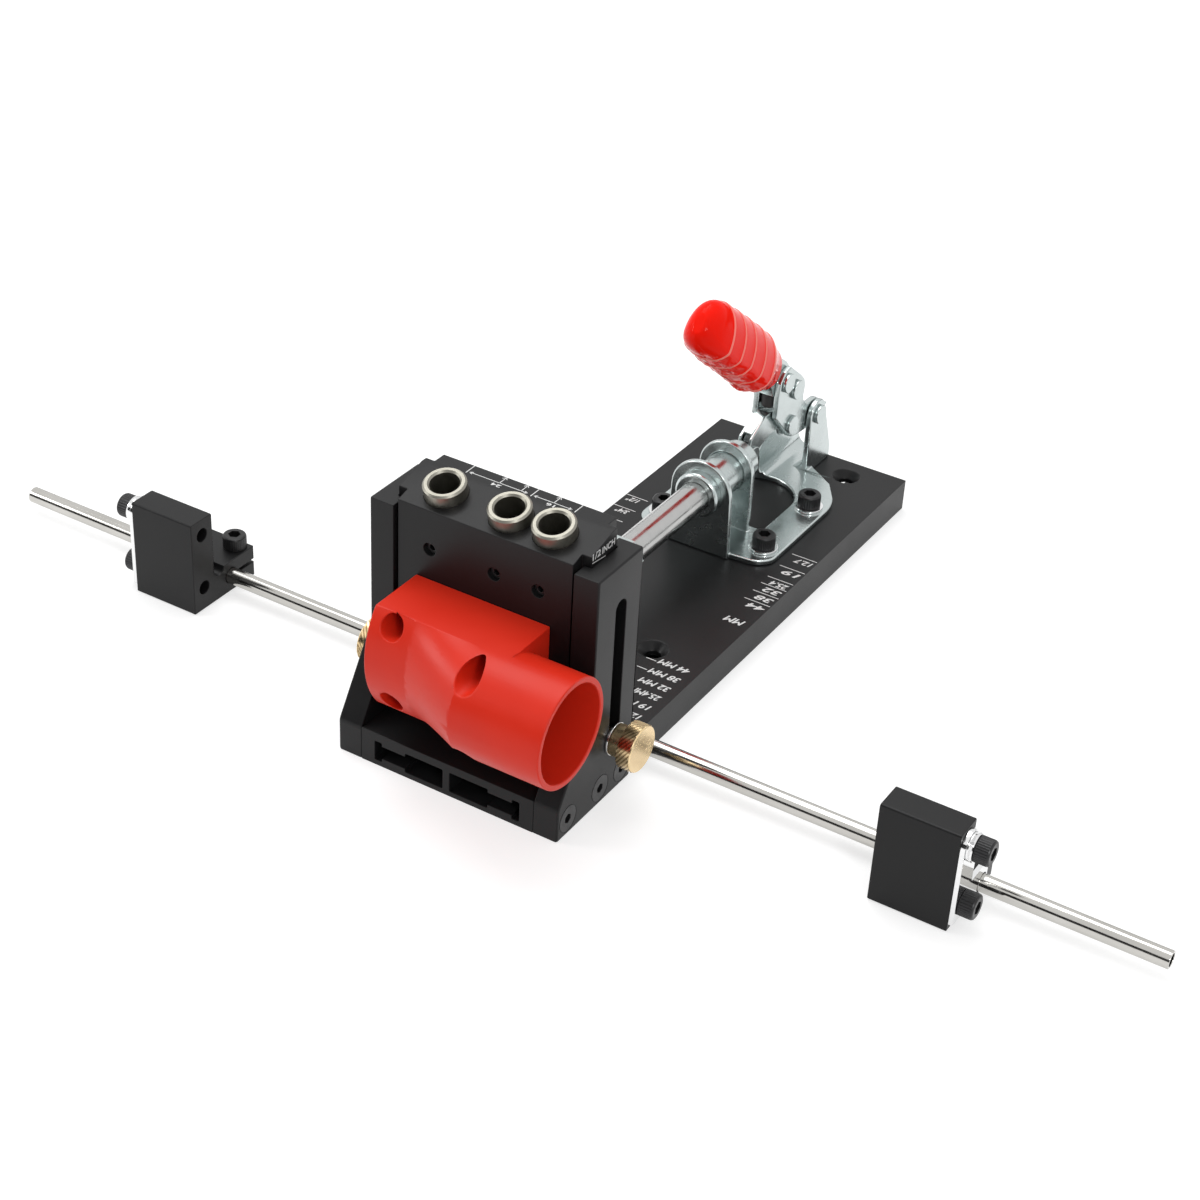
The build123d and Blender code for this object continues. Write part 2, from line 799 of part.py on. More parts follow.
with BuildPart() as spindle:
    with BuildSketch(front_plane(spindle_tip)):
        with Locations((0, axis_z)):
            Circle(spindle_head_r)
    extrude(amount=-spindle_head_h)
    with BuildSketch(front_plane(spindle_tip)):
        with Locations((0, axis_z)):
            Circle(spindle_r)
    extrude(amount=-(plunger_front + spindle_seat - 1 - spindle_tip))
save(spindle.part, "clamp_spindle")

with BuildPart() as nut:
    with BuildSketch(front_plane(plunger_front - nut_h)):
        with Locations((0, axis_z)):
            RegularPolygon(nut_w / 2, 6, major_radius=False)
            Circle(spindle_r + fixed_gap, mode=Mode.SUBTRACT)
    extrude(amount=-nut_h)
save(nut.part, "spindle_nut")

with BuildPart() as pad:
    with BuildSketch(front_plane(pad_front)):
        with Locations((0, axis_z)):
            Circle(pad_r)
    extrude(amount=-(pad_rear - pad_front))
    chamfer(pad.edges().group_by(Axis.Y)[0], length=1.0)
    with BuildSketch(front_plane(spindle_tip)):
        with Locations((0, axis_z)):
            Circle(spindle_head_r + fixed_gap)
    extrude(amount=-spindle_head_h, mode=Mode.SUBTRACT)
    with BuildSketch(front_plane(spindle_tip)):
        with Locations((0, axis_z)):
            Circle(spindle_r + 0.2)
    extrude(amount=-(pad_rear - spindle_tip), mode=Mode.SUBTRACT)
save(pad.part, "clamp_pad")

pin = rivet(link_out + fit_gap, link_out + fit_gap + pin_head_h)
save(Location((0, pin_yz[0], pin_yz[1])) * pin, "plunger_pin")

# Channel link, drawn along its own line from the plunger pin to the handle
link_run = link_yz[0] - pin_yz[0]
link_lift = link_yz[1] - pin_yz[1]
link_len = (link_run**2 + link_lift**2) ** 0.5
link_dir = (0, link_run / link_len, link_lift / link_len)


def link_plane(x):
    return Plane(origin=(x, pin_yz[0], pin_yz[1]), x_dir=link_dir, z_dir=(1, 0, 0))


with BuildPart() as link:
    for side in (-1, 1):
        with BuildSketch(link_plane(side * link_in)):
            with BuildLine():
                Polyline(
                    (-tang_r, 0),
                    (-1.0, 7.9),
                    (8.7, 11.4),
                    (12.4, 11.5),
                    (19.0, 8.0),
                    (link_len, lug_r),
                    (link_len, -3.0),
                    (19.5, 0.6),
                    (11.9, 1.4),
                    (4.5, 0.4),
                    (0, 0),
                    close=True,
                )
            make_face()
            with Locations((0, 0)):
                Circle(tang_r)
            with Locations((link_len, 0)):
                Circle(lug_r)
            with Locations((0, 0), (link_len, 0)):
                Circle(rivet_r + fit_gap, mode=Mode.SUBTRACT)
        extrude(amount=side * (link_out - link_in))
    with BuildSketch(link_plane(-link_in)):
        with BuildLine():
            Polyline(
                (1.0, 7.6),
                (1.0, 8.62),
                (8.7, 11.4),
                (12.4, 11.5),
                (12.4, 10.4),
                (8.9, 10.3),
                close=True,
            )
        make_face()
    extrude(amount=2 * link_in)
save(link.part, "clamp_link")

# Handle bar, riveted between the two handle plates
rise = radians(grip_rise)
grip_dir = (0, -cos(rise), sin(rise))


def grip_point(s, n):
    return (
        grip_yz[0] - s * cos(rise) + n * sin(rise),
        grip_yz[1] + s * sin(rise) + n * cos(rise),
    )


with BuildPart() as bar:
    with BuildSketch(side_plane(-bar_half)):
        with BuildLine():
            Polyline(
                grip_point(60, -4.0),
                grip_point(60, 4.8),
                grip_point(-6, 6.0),
                (199.5, 59.0),
                (203.0, 54.5),
                (202.0, 50.0),
                (196.5, 48.6),
                (193.0, 50.5),
                (190.6, bar_under_z),
                (184.2, bar_under_z),
                grip_point(1, -4.6),
                close=True,
            )
        make_face()
        with Locations(rivet_a, rivet_b):
            Circle(rivet_r + fixed_gap, mode=Mode.SUBTRACT)
    extrude(amount=2 * bar_half)
save(bar.part, "handle_bar")

with BuildPart() as handle_plate:
    with BuildSketch(side_plane(bar_half)):
        with BuildLine():
            Polyline(
                (184.2, 47.0),
                (184.6, 49.2),
                (184.6, 55.4),
                (185.4, 61.2),
                (188.6, 64.6),
                (192.6, 65.3),
                (201.7, 58.3),
                (204.9, 55.2),
                (205.9, 52.0),
                (205.2, 48.1),
                (205.4, 46.3),
                (208.4, 43.0),
                (ear_yz[0], ear_yz[1] + lobe_r),
                (ear_yz[0], ear_yz[1] - lobe_r),
                (209.2, 31.8),
                (203.8, 32.3),
                (198.3, 33.5),
                (196.2, 34.6),
                (190.6, 40.3),
                close=True,
            )
        make_face()
        with Locations(ear_yz):
            Circle(lobe_r)
            Circle(rivet_r + fit_gap, mode=Mode.SUBTRACT)
        with Locations(rivet_a, rivet_b, link_yz):
            Circle(rivet_r + fixed_gap, mode=Mode.SUBTRACT)
    extrude(amount=hplate_out - bar_half)
save(handle_plate.part, "right_handle_plate")
save(mirror(handle_plate.part, about=Plane.YZ), "left_handle_plate")

plate_rivet = rivet(hplate_out, hplate_out + rivet_head_h)
save_group(
    [Location((0, y, z)) * plate_rivet for y, z in (rivet_a, rivet_b)],
    "handle_rivets",
)
with BuildPart() as stub:
    with BuildSketch(side_plane(bar_half)):
        with Locations(link_yz):
            Circle(rivet_r)
    extrude(amount=hplate_out - bar_half)
    with BuildSketch(side_plane(hplate_out)):
        with Locations(link_yz):
            Circle(rivet_head_r)
    extrude(amount=rivet_head_h)
save_group([stub.part, mirror(stub.part, about=Plane.YZ)], "link_rivet")
save(Location((0, *ear_yz)) * rivet(ear_out, ear_out + rivet_head_h), "ear_rivet")

# Grip lofted along the bar, narrow where it leaves the plates
grip_plan = (
    (1.0, 4.8, 7.6),
    (5.0, 5.4, 8.4),
    (12.0, 8.2, 10.3),
    (26.0, 9.4, 11.5),
    (44.0, 9.6, 10.8),
    (62.0, 9.4, 10.0),
    (70.0, 7.2, 7.4),
    (grip_len, 2.6, 2.8),
)
with BuildPart() as grip_form:
    for s, across, tall in grip_plan:
        y, z = grip_point(s, 0.5)
        with BuildSketch(Plane(origin=(0, y, z), x_dir=(1, 0, 0), z_dir=grip_dir)):
            Ellipse(across, tall)
    loft()
save(grip_form.part - bar.part, "handle_grip")

with BuildPart() as bumper:
    with BuildSketch(Plane.XY.offset(bumper_low)):
        with Locations((0, bumper_y)):
            Circle(bumper_r)
    extrude(amount=bar_under_z - bumper_low)
    chamfer(bumper.edges().group_by(Axis.Z)[0], length=0.6)
save(bumper.part, "handle_bumper")

# Clamp fastening on the base
clamp_screw = cap_screw(clamp_washer_t + sheet_t + 3.8)
save_group(
    [
        Location((s * clamp_screw_x, y, flange_top + clamp_washer_t)) * clamp_screw
        for s in (-1, 1)
        for y in clamp_screw_y
    ],
    "clamp_screws",
)
clamp_washer = ring(clamp_washer_r, m5_r + 0.2, clamp_washer_t)
save_group(
    [
        Location((s * clamp_screw_x, y, flange_top)) * clamp_washer
        for s in (-1, 1)
        for y in clamp_screw_y
    ],
    "clamp_washers",
)
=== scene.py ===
import json
import math

import bmesh
import bpy
from mathutils import Matrix, Vector


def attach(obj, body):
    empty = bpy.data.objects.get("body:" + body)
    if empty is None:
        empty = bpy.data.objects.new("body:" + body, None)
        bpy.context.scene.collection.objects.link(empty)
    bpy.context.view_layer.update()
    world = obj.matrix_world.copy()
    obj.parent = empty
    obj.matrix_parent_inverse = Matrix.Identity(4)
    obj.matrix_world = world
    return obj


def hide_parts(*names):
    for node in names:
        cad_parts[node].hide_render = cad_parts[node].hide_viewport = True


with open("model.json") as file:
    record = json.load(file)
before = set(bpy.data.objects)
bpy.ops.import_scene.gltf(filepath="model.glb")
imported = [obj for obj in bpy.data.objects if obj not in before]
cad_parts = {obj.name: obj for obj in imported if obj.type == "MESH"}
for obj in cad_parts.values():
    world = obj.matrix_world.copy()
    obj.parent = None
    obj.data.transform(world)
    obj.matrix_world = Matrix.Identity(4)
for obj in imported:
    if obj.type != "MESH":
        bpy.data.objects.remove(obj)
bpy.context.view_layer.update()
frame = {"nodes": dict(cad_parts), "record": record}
bpy.ops.object.select_all(action="DESELECT")
MM = 0.001


# STUDIO
# A white paper sweep under the jig, three soft boxes and a pale room. The sweep is white
# to the camera and in reflections, and keeps a faint shadow. Two dark cloth flags stand
# where the black and the metal pieces reflect them.
class Wire:
    """A socket of a node tree that takes part in plain arithmetic."""

    def __init__(self, tree, socket):
        self.tree = tree
        self.socket = socket

    def reckon(self, operation, *others):
        return add_node(self.tree, "ShaderNodeMath", {"operation": operation}, self, *others)

    def __add__(self, other):
        return self.reckon("ADD", other)

    def __mul__(self, other):
        return self.reckon("MULTIPLY", other)

    def __sub__(self, other):
        return self.reckon("SUBTRACT", other)

    def __rsub__(self, other):
        return add_node(self.tree, "ShaderNodeMath", {"operation": "SUBTRACT"}, other, self)

    def __abs__(self):
        return self.reckon("ABSOLUTE")

    def __gt__(self, other):
        return self.reckon("GREATER_THAN", other)

    def __lt__(self, other):
        return self.reckon("LESS_THAN", other)

    __radd__ = __add__
    __rmul__ = __mul__


def feed(tree, target, value):
    if isinstance(value, Wire):
        tree.links.new(value.socket, target)
    elif isinstance(value, tuple) and len(value) == 3 and target.type == "RGBA":
        target.default_value = (*value, 1.0)
    else:
        target.default_value = value


def add_node(tree, kind, settings=None, *values, out=0, **named):
    node = tree.nodes.new(kind)
    for key, setting in (settings or {}).items():
        setattr(node, key, setting)
    for k, value in enumerate(values):
        if value is not None:
            feed(tree, node.inputs[k], value)
    for key, value in named.items():
        feed(tree, node.inputs[key.replace("_", " ")], value)
    return Wire(tree, node.outputs[out])


def seen_directly(tree):
    rays = "ShaderNodeLightPath"
    camera = add_node(tree, rays, None, out="Is Camera Ray")
    glossy = add_node(tree, rays, None, out="Is Glossy Ray")
    through = add_node(tree, rays, None, out="Is Transmission Ray")
    return camera.reckon("MAXIMUM", glossy).reckon("MAXIMUM", through)


def cleared(block):
    block.use_nodes = True
    block.node_tree.nodes.clear()
    return block.node_tree


def show(tree, kind, shader):
    tree.links.new(shader.socket, tree.nodes.new(kind).inputs[0])


white = (1.0, 1.0, 1.0)
room_light = 0.62
room = bpy.data.worlds.new("studio_room")
bpy.context.scene.world = room
tree = cleared(room)
room_strength = seen_directly(tree) * (1.0 - room_light) + room_light
room_shade = add_node(tree, "ShaderNodeBackground", None, white, room_strength)
show(tree, "ShaderNodeOutputWorld", room_shade)

sweep_size, sweep_below = 60.0, 0.05
sweep_lit, sweep_glow, sweep_bounce = (0.50, 0.50, 0.50), 0.62, (0.80, 0.80, 0.80)
bpy.ops.mesh.primitive_plane_add(size=sweep_size, location=(0, 0, -sweep_below * MM))
sweep = bpy.context.object
sweep.name = "sweep"
sweep_finish = bpy.data.materials.new("sweep_white")
tree = cleared(sweep_finish)
lit = add_node(tree, "ShaderNodeBsdfDiffuse", None, sweep_lit)
glow = add_node(tree, "ShaderNodeEmission", None, white, sweep_glow)
seen = add_node(tree, "ShaderNodeAddShader", None, lit, glow)
unseen = add_node(tree, "ShaderNodeBsdfDiffuse", None, sweep_bounce)
sweep_shade = add_node(tree, "ShaderNodeMixShader", None, seen_directly(tree), unseen, seen)
show(tree, "ShaderNodeOutputMaterial", sweep_shade)
sweep.data.materials.append(sweep_finish)

for name, place, aim, wide, tall, watts in (
    ("overhead_box", (-0.35, 0.35, 1.25), (0.0, 0.08, 0.0), 1.0, 0.8, 9.0),
    ("camera_side_box", (0.9, -0.75, 0.75), (0.02, 0.05, 0.02), 0.26, 0.2, 4.0),
    ("left_box", (-1.0, -0.5, 0.6), (0.0, 0.05, 0.02), 0.3, 0.3, 3.5),
):
    lamp = bpy.data.lights.new(name, "AREA")
    lamp.shape = "RECTANGLE"
    lamp.size = wide
    lamp.size_y = tall
    lamp.energy = watts
    box = bpy.data.objects.new(name, lamp)
    bpy.context.scene.collection.objects.link(box)
    box.location = place
    box.rotation_euler = (Vector(aim) - Vector(place)).to_track_quat("-Z", "Y").to_euler()

flag_grey = (0.05, 0.05, 0.05)
for name, place, wide, tall in (
    ("front_flag", (0.0, -1.9, 0.62), 4.4, 1.0),
    ("rear_flag", (0.0, 2.4, 0.13), 5.0, 0.26),
):
    bpy.ops.mesh.primitive_plane_add(size=1.0, location=place, rotation=(math.radians(90), 0, 0))
    flag = bpy.context.object
    flag.name = name
    flag.scale = (wide, tall, 1.0)
    flag.visible_camera = False
    flag.visible_shadow = False
    flag_cloth = bpy.data.materials.new(name + "_cloth")
    tree = cleared(flag_cloth)
    cloth = add_node(tree, "ShaderNodeBsdfDiffuse", None, flag_grey)
    show(tree, "ShaderNodeOutputMaterial", cloth)
    flag.data.materials.append(flag_cloth)

camera_place = (0.3418, -0.51251, 0.47227)
yaw, pitch, roll = (math.radians(a) for a in (30.289, 33.38, 3.16))
back = Vector(
    (math.sin(yaw) * math.cos(pitch), -math.cos(yaw) * math.cos(pitch), math.sin(pitch))
)
level = (-back).cross(Vector((0, 0, 1))).normalized()
above = level.cross(-back)
right = level * math.cos(roll) + above * math.sin(roll)
upward = above * math.cos(roll) - level * math.sin(roll)
lens = bpy.data.cameras.new("product_camera")
lens.sensor_width = 36.0
lens.lens = 72.066
lens.clip_start = 0.01
lens.clip_end = 100.0
camera = bpy.data.objects.new("product_camera", lens)
bpy.context.scene.collection.objects.link(camera)
turned_to_jig = Matrix((right, upward, back)).transposed().to_4x4()
camera.matrix_world = Matrix.Translation(camera_place) @ turned_to_jig
bpy.context.scene.camera = camera
bpy.context.scene.view_settings.view_transform = "Standard"


# BASE
# One long aluminium extrusion with hollow chambers, sawn, drilled and satin anodised.
# Thickness scales for setting the jig and the clamp are printed on it in white.
class Finish:
    """A node material for one real finish, made around one Principled shader."""

    def __init__(self, name):
        self.material = bpy.data.materials.new(name)
        self.material.use_nodes = True
        self.tree = self.material.node_tree
        self.shader = self.tree.nodes["Principled BSDF"]

    def node(self, kind, settings=None, *values, out=0, **named):
        return add_node(self.tree, kind, settings, *values, out=out, **named)

    def place(self, turn=(0.0, 0.0, 0.0), stretch=(1.0, 1.0, 1.0), move=(0.0, 0.0, 0.0)):
        spot = self.node("ShaderNodeTexCoord", None, out="Object")
        return self.node(
            "ShaderNodeMapping", None, spot, Location=move, Rotation=turn, Scale=stretch
        )

    def noise(self, scale, detail=2.0, vector=None, rough=0.5):
        spot = vector or self.place()
        return self.node(
            "ShaderNodeTexNoise", None, Vector=spot, Scale=scale, Detail=detail, Roughness=rough
        )

    def part(self, wire, axis):
        return self.node("ShaderNodeSeparateXYZ", None, wire, out=axis)

    def spread(self, wire, low, high, start=0.3, end=0.7):
        return self.node("ShaderNodeMapRange", None, wire, start, end, low, high)

    def shades(self, mask, dark, light):
        unused = [None] * 5
        return self.node("ShaderNodeMix", {"data_type": "RGBA"}, mask, *unused, dark, light, out=2)

    def bump(self, height, depth, strength=1.0, under=None):
        more = {"Normal": under} if under else {}
        return self.node(
            "ShaderNodeBump", None, Height=height, Distance=depth, Strength=strength, **more
        )

    def set(self, **sockets):
        for key, value in sockets.items():
            feed(self.tree, self.shader.inputs[key.replace("_", " ")], value)
        return self.material


def anodised_black():
    black = Finish("black_anodised")
    cloud = black.noise(30.0, 3.0)
    grain = black.noise(6500.0, 1.0)
    scuffs = black.noise(1.0, 4.0, black.place(stretch=(900.0, 60.0, 500.0)), 0.7)
    worn = black.spread(scuffs, 0.0, 1.0, 0.66, 0.80)
    satin = black.shades(cloud, (0.0060, 0.0060, 0.0064), (0.0090, 0.0090, 0.0094))
    rubbed = (0.032, 0.032, 0.033)
    return black.set(
        Base_Color=black.shades(worn * 0.25, satin, rubbed),
        Roughness=black.spread(cloud, 0.34, 0.42) + worn * 0.06,
        Specular_IOR_Level=0.22,
        Normal=black.bump(grain, 0.00002, 0.55),
    )


def print_white():
    ink = Finish("print_white")
    wear = ink.noise(2600.0, 2.0)
    return ink.set(
        Base_Color=ink.shades(wear, (0.52, 0.52, 0.52), (0.86, 0.86, 0.85)),
        Roughness=ink.spread(wear, 0.5, 0.65),
    )


def home_of(node):
    groups = frame["record"]["behaviour"]["bodies"]
    return next(body for body, members in groups.items() if node in members)


def only(piece):
    bpy.ops.object.select_all(action="DESELECT")
    bpy.context.view_layer.objects.active = piece
    piece.select_set(True)


def apply(piece, name, kind, **settings):
    only(piece)
    step = piece.modifiers.new(name, kind)
    for key, value in settings.items():
        setattr(step, key, value)
    bpy.ops.object.modifier_apply(modifier=name)


def shade(piece, finish, angle=35.0):
    only(piece)
    bpy.ops.object.shade_smooth_by_angle(angle=math.radians(angle))
    apply(piece, "flat_faces", "WEIGHTED_NORMAL", keep_sharp=True, weight=60)
    piece.data.materials.clear()
    piece.data.materials.append(finish)


def place_on(piece, body, finish, *nodes):
    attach(piece, body)
    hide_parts(*nodes)


def eased(node, width, finish, rounds=2, sharp=32.0):
    """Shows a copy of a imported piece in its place, with its sharp edges broken."""
    weld, flat_within = 0.002, 0.3
    piece = bpy.data.objects.new(node + "_finished", frame["nodes"][node].data.copy())
    bpy.context.scene.collection.objects.link(piece)
    only(piece)
    bpy.ops.mesh.customdata_custom_splitnormals_clear()
    bpy.ops.object.mode_set(mode="EDIT")
    bpy.ops.mesh.select_all(action="SELECT")
    bpy.ops.mesh.remove_doubles(threshold=weld * MM)
    bpy.ops.mesh.dissolve_limited(angle_limit=math.radians(flat_within))
    bpy.ops.object.mode_set(mode="OBJECT")
    apply(
        piece,
        "broken_edges",
        "BEVEL",
        width=width * MM,
        segments=rounds,
        limit_method="ANGLE",
        angle_limit=math.radians(sharp),
        use_clamp_overlap=False,
        miter_outer="MITER_ARC",
    )
    shade(piece, finish)
    place_on(piece, home_of(node), finish, node)


def joined(name, parts):
    """Makes one object of all the parts, with its origin at the world's."""
    only(parts[0])
    for part in parts:
        part.select_set(True)
    bpy.ops.object.transform_apply(location=True, rotation=True, scale=True)
    bpy.ops.object.join()
    bpy.context.object.name = name
    return bpy.context.object


def printed(name, body, lines, words, level, finish, side=None):
    """Lays thin white strips and letters on a face, joined in one piece.

    A line is x0, y0, x1, y1 and width; a word is text, x0, x1, y0, y1 and slant.
    """
    boldness = 0.022
    parts = []
    for x0, y0, x1, y1, wide in lines:
        run = math.hypot(x1 - x0, y1 - y0)
        bpy.ops.mesh.primitive_plane_add(
            size=1.0,
            location=((x0 + x1) / 2 * MM, (y0 + y1) / 2 * MM, level * MM),
            rotation=(0, 0, math.atan2(y1 - y0, x1 - x0)),
        )
        bpy.context.object.scale = (run * MM, wide * MM, 1)
        parts.append(bpy.context.object)
    for text, x0, x1, y0, y1, slant in words:
        bpy.ops.object.text_add(location=(0, 0, 0))
        letters = bpy.context.object
        letters.data.body = text
        letters.data.size = 1.0
        letters.data.shear = slant
        letters.data.offset = boldness
        bpy.ops.object.convert(target="MESH")
        letters = bpy.context.object
        xs = [point.co.x for point in letters.data.vertices]
        ys = [point.co.y for point in letters.data.vertices]
        wider = (x1 - x0) / (max(xs) - min(xs)) * MM
        taller = (y1 - y0) / (max(ys) - min(ys)) * MM
        letters.data.transform(Matrix.Translation((-min(xs), -min(ys), 0)))
        letters.data.transform(Matrix.Diagonal((-wider, -taller, 1, 1)))
        letters.location = (x1 * MM, y1 * MM, level * MM)
        parts.append(letters)
    piece = joined(name, parts)
    if side:
        piece.data.transform(side)
    piece.data.materials.clear()
    piece.data.materials.append(finish)
    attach(piece, body)


black_anodised = anodised_black()
white_print = print_white()
base_h = 12.4
print_lift, stroke, slant = 0.03, 0.35, 0.25
eased("base_plate", 0.3, black_anodised)
clamp_marks = (("12.7", 156.7), ("19", 147.4), ("25.4", 138.5), ("32", 133.4), ("38", 127.5))
clamp_marks += (("44", 121.4),)
fence_marks = (("44 MM", 69.0), ("38 MM", 62.6), ("32 MM", 56.2), ("25.4MM", 50.0))
fence_marks += (("19 MM", 43.6), ("12.7MM", 37.4))
ticks = [(30.0, y, 40.2, y, stroke) for _, y in clamp_marks]
ticks += [(-40.2, y, -31.0, y, stroke) for y in (157.0, 148.0, 139.0)]
ticks += [(21.0, y, 24.9, y, stroke) for y in (69.7, 63.6)]
numbers = [(text, 25.4, 37.2, y, y + 3.0, slant) for text, y in fence_marks]
numbers += [(text, 32.6, 39.6, y - 4.6, y - 1.6, slant) for text, y in clamp_marks]
numbers += [
    ("MM", 30.4, 38.0, 104.8, 108.2, slant),
    ("1/2\"", -38.8, -33.6, 153.2, 156.0, slant),
    ("3/4\"", -38.0, -32.6, 144.2, 147.0, slant),
    ("1\"", -36.8, -33.2, 135.0, 138.0, slant),
]
printed("base_scale", "frame", ticks, numbers, base_h + print_lift, white_print)


# RODS
# Two thin polished stainless tubes, open at their ends, pressed into the base.
def stainless_tube():
    steel = Finish("stainless")
    drawn = steel.noise(1.0, 3.0, steel.place(stretch=(20.0, 1500.0, 1500.0)), 0.6)
    cloud = steel.noise(60.0, 2.0)
    return steel.set(
        Base_Color=steel.shades(cloud, (0.47, 0.458, 0.43), (0.61, 0.598, 0.57)),
        Metallic=1.0,
        Roughness=steel.spread(drawn, 0.09, 0.17),
        Normal=steel.bump(drawn, 0.000004, 0.35),
    )


stainless = stainless_tube()
for side in ("left", "right"):
    eased(side + "_rod", 0.18, stainless)


# SIDE PLATES
# Two milled and anodised plates with a height slot, screwed to the base from the side.
# The screws are black countersunk screws with hexagon sockets, flush with the plate.
def oxide_black():
    black = Finish("black_oxide")
    cloud = black.noise(420.0, 3.0)
    grain = black.noise(5200.0, 2.0)
    return black.set(
        Base_Color=black.shades(cloud, (0.010, 0.010, 0.011), (0.020, 0.020, 0.021)),
        Metallic=0.35,
        Roughness=black.spread(cloud, 0.30, 0.44),
        Normal=black.bump(grain, 0.00003, 0.5),
    )


black_oxide = oxide_black()
for side in ("left", "right"):
    eased(side + "_side_plate", 0.35, black_anodised)
    eased(side + "_side_plate_screws", 0.2, black_oxide)


# DRILL GUIDE BLOCK
# One milled and anodised aluminium block that slides up and down between the plates.
# Hole pitches are printed on its rear edge and the board thickness on its right tongue.
block_top, tongue_out = 93.5, 35.3
bushing_xs, arrow_xs = (-20.0, 4.0, 20.0), (-8.0, 0.0, 12.0)
fine, pitch_y, barb = 0.3, 21.1, 0.6
eased("drill_guide_block", 0.3, black_anodised)
marks = [(x, 20.2, x, 25.4, 0.32) for x in bushing_xs]
marks += [(x, 20.9, x, 24.6, fine) for x in arrow_xs]
marks += [(x + lean, 24.0, x, 25.2, fine) for x in arrow_xs for lean in (-0.8, 0.8)]
for x0, x1 in ((-19.2, 2.4), (4.7, 18.6)):
    marks.append((x0, pitch_y, x1, pitch_y, fine))
    for x, inward in ((x0, 2 * barb), (x1, -2 * barb)):
        marks += [(x, pitch_y, x + inward, pitch_y + rise, fine) for rise in (barb, -barb)]
pitches = [("24", -9.9, -6.5, 18.6, 20.2, 0.0), ("16", 10.3, 13.3, 18.6, 20.2, 0.0)]
printed("block_pitch_marks", "guide", marks, pitches, block_top + print_lift, white_print)
# Turns the print upright, onto the outer face of the right tongue.
tongue_side = Matrix(((0, 0, 1, 0), (-1, 0, 0, 0), (0, -1, 0, 0), (0, 0, 0, 1)))
printed(
    "block_thickness_mark",
    "guide",
    [(-14.1, -86.9, -6.4, -87.9, fine)],
    [("INCH", -19.2, -12.0, -90.8, -88.4, 0.0), ("1/2", -11.2, -6.6, -91.0, -88.6, 0.0)],
    tongue_out + print_lift,
    white_print,
    tongue_side,
)


# DRILL BUSHINGS
# Three hardened and ground steel sleeves that stand out of the block's sloping top.
# Three small black set screws in the block's front hold them.
def ground_sleeve():
    steel = Finish("ground_steel")
    cloud = steel.noise(220.0, 3.0)
    ground = steel.noise(1.0, 2.0, steel.place(stretch=(3000.0, 3000.0, 500.0)))
    return steel.set(
        Base_Color=steel.shades(cloud, (0.24, 0.23, 0.195), (0.33, 0.318, 0.275)),
        Metallic=1.0,
        Roughness=steel.spread(ground, 0.36, 0.46),
        Normal=steel.bump(ground, 0.000004, 0.4),
    )


ground_steel = ground_sleeve()
for side in ("left", "middle", "right"):
    eased(side + "_drill_bushing", 0.5, ground_steel, rounds=3, sharp=50.0)
eased("bushing_set_screws", 0.15, black_oxide)


# DUST NOZZLE
# One red moulded plastic shell on the block's front, with a hose tube to its right.
# Four socket screws hold it, deep in round access holes.
def moulded_red():
    red = Finish("red_plastic")
    cloud = red.noise(45.0, 3.0)
    grain = red.noise(3400.0, 2.0)
    return red.set(
        Base_Color=red.shades(cloud, (0.60, 0.020, 0.007), (0.70, 0.028, 0.010)),
        Roughness=red.spread(cloud, 0.34, 0.42),
        Specular_IOR_Level=0.22,
        Normal=red.bump(grain, 0.00002, 0.5),
    )


red_plastic = moulded_red()
eased("dust_nozzle", 0.45, red_plastic, rounds=3)
eased("nozzle_screws", 0.2, black_oxide)


# HEIGHT KNOBS
# Turned brass thumb screws with a diamond knurl, a smooth hub and a faced end.
# A steel washer lies under each; their studs run through the slots into the block.
knob_y, knob_z = 13.9, 21.7
stud_r, neck_r, hub_r, knob_r, face_r = 3.0, 5.2, 5.46, 8.1, 7.75
stud_end, neck_x, knurl_x0, knurl_x1, knob_face = 20.0, 43.2, 47.2, 52.1, 52.6
teeth, rows_of_teeth, tooth = 26, 7, 0.55
root_r = knob_r - tooth
face_rings = (3.4, 3.0)


def turned_brass():
    brass = Finish("brass")
    spot = brass.place(move=(0.0, -knob_y * MM, -knob_z * MM))
    rings = brass.node(
        "ShaderNodeTexWave",
        {"wave_type": "RINGS", "rings_direction": "X"},
        Vector=spot,
        Scale=1100.0,
        Distortion=0.6,
        Detail=1.0,
    )
    cloud = brass.noise(260.0, 2.0)
    across = brass.node("ShaderNodeVectorMath", {"operation": "MULTIPLY"}, spot, (0.0, 1.0, 1.0))
    out = brass.node("ShaderNodeVectorMath", {"operation": "LENGTH"}, across, out="Value")
    raised = brass.spread(out, 0.0, 1.0, (root_r - 0.03) * MM, (knob_r - 0.12) * MM)
    beyond_knurl = abs(brass.part(brass.place(), "X")) > (knurl_x1 + 0.1) * MM
    rim = (out > (knob_r - 0.7) * MM) * (1.0 - beyond_knurl)
    # Painted shade: the knurl's valleys are painted dark brown, and the teeth keep the brass
    # colour.
    brass_tone = brass.shades(cloud, (0.78, 0.57, 0.31), (0.92, 0.73, 0.44))
    painted_groove_shade = (0.22, 0.125, 0.045)
    return brass.set(
        Base_Color=brass.shades((1.0 - raised) * rim, brass_tone, painted_groove_shade),
        Metallic=1.0,
        Roughness=brass.spread(cloud, 0.20, 0.30),
        Normal=brass.bump(rings, 0.000008, 0.3),
    )


def silver_plate():
    steel = Finish("polished_steel")
    streak = steel.noise(1.0, 3.0, steel.place(stretch=(260.0, 260.0, 1400.0)), 0.6)
    return steel.set(
        Base_Color=steel.shades(streak, (0.74, 0.745, 0.75), (0.86, 0.86, 0.86)),
        Metallic=1.0,
        Roughness=steel.spread(streak, 0.05, 0.11),
    )


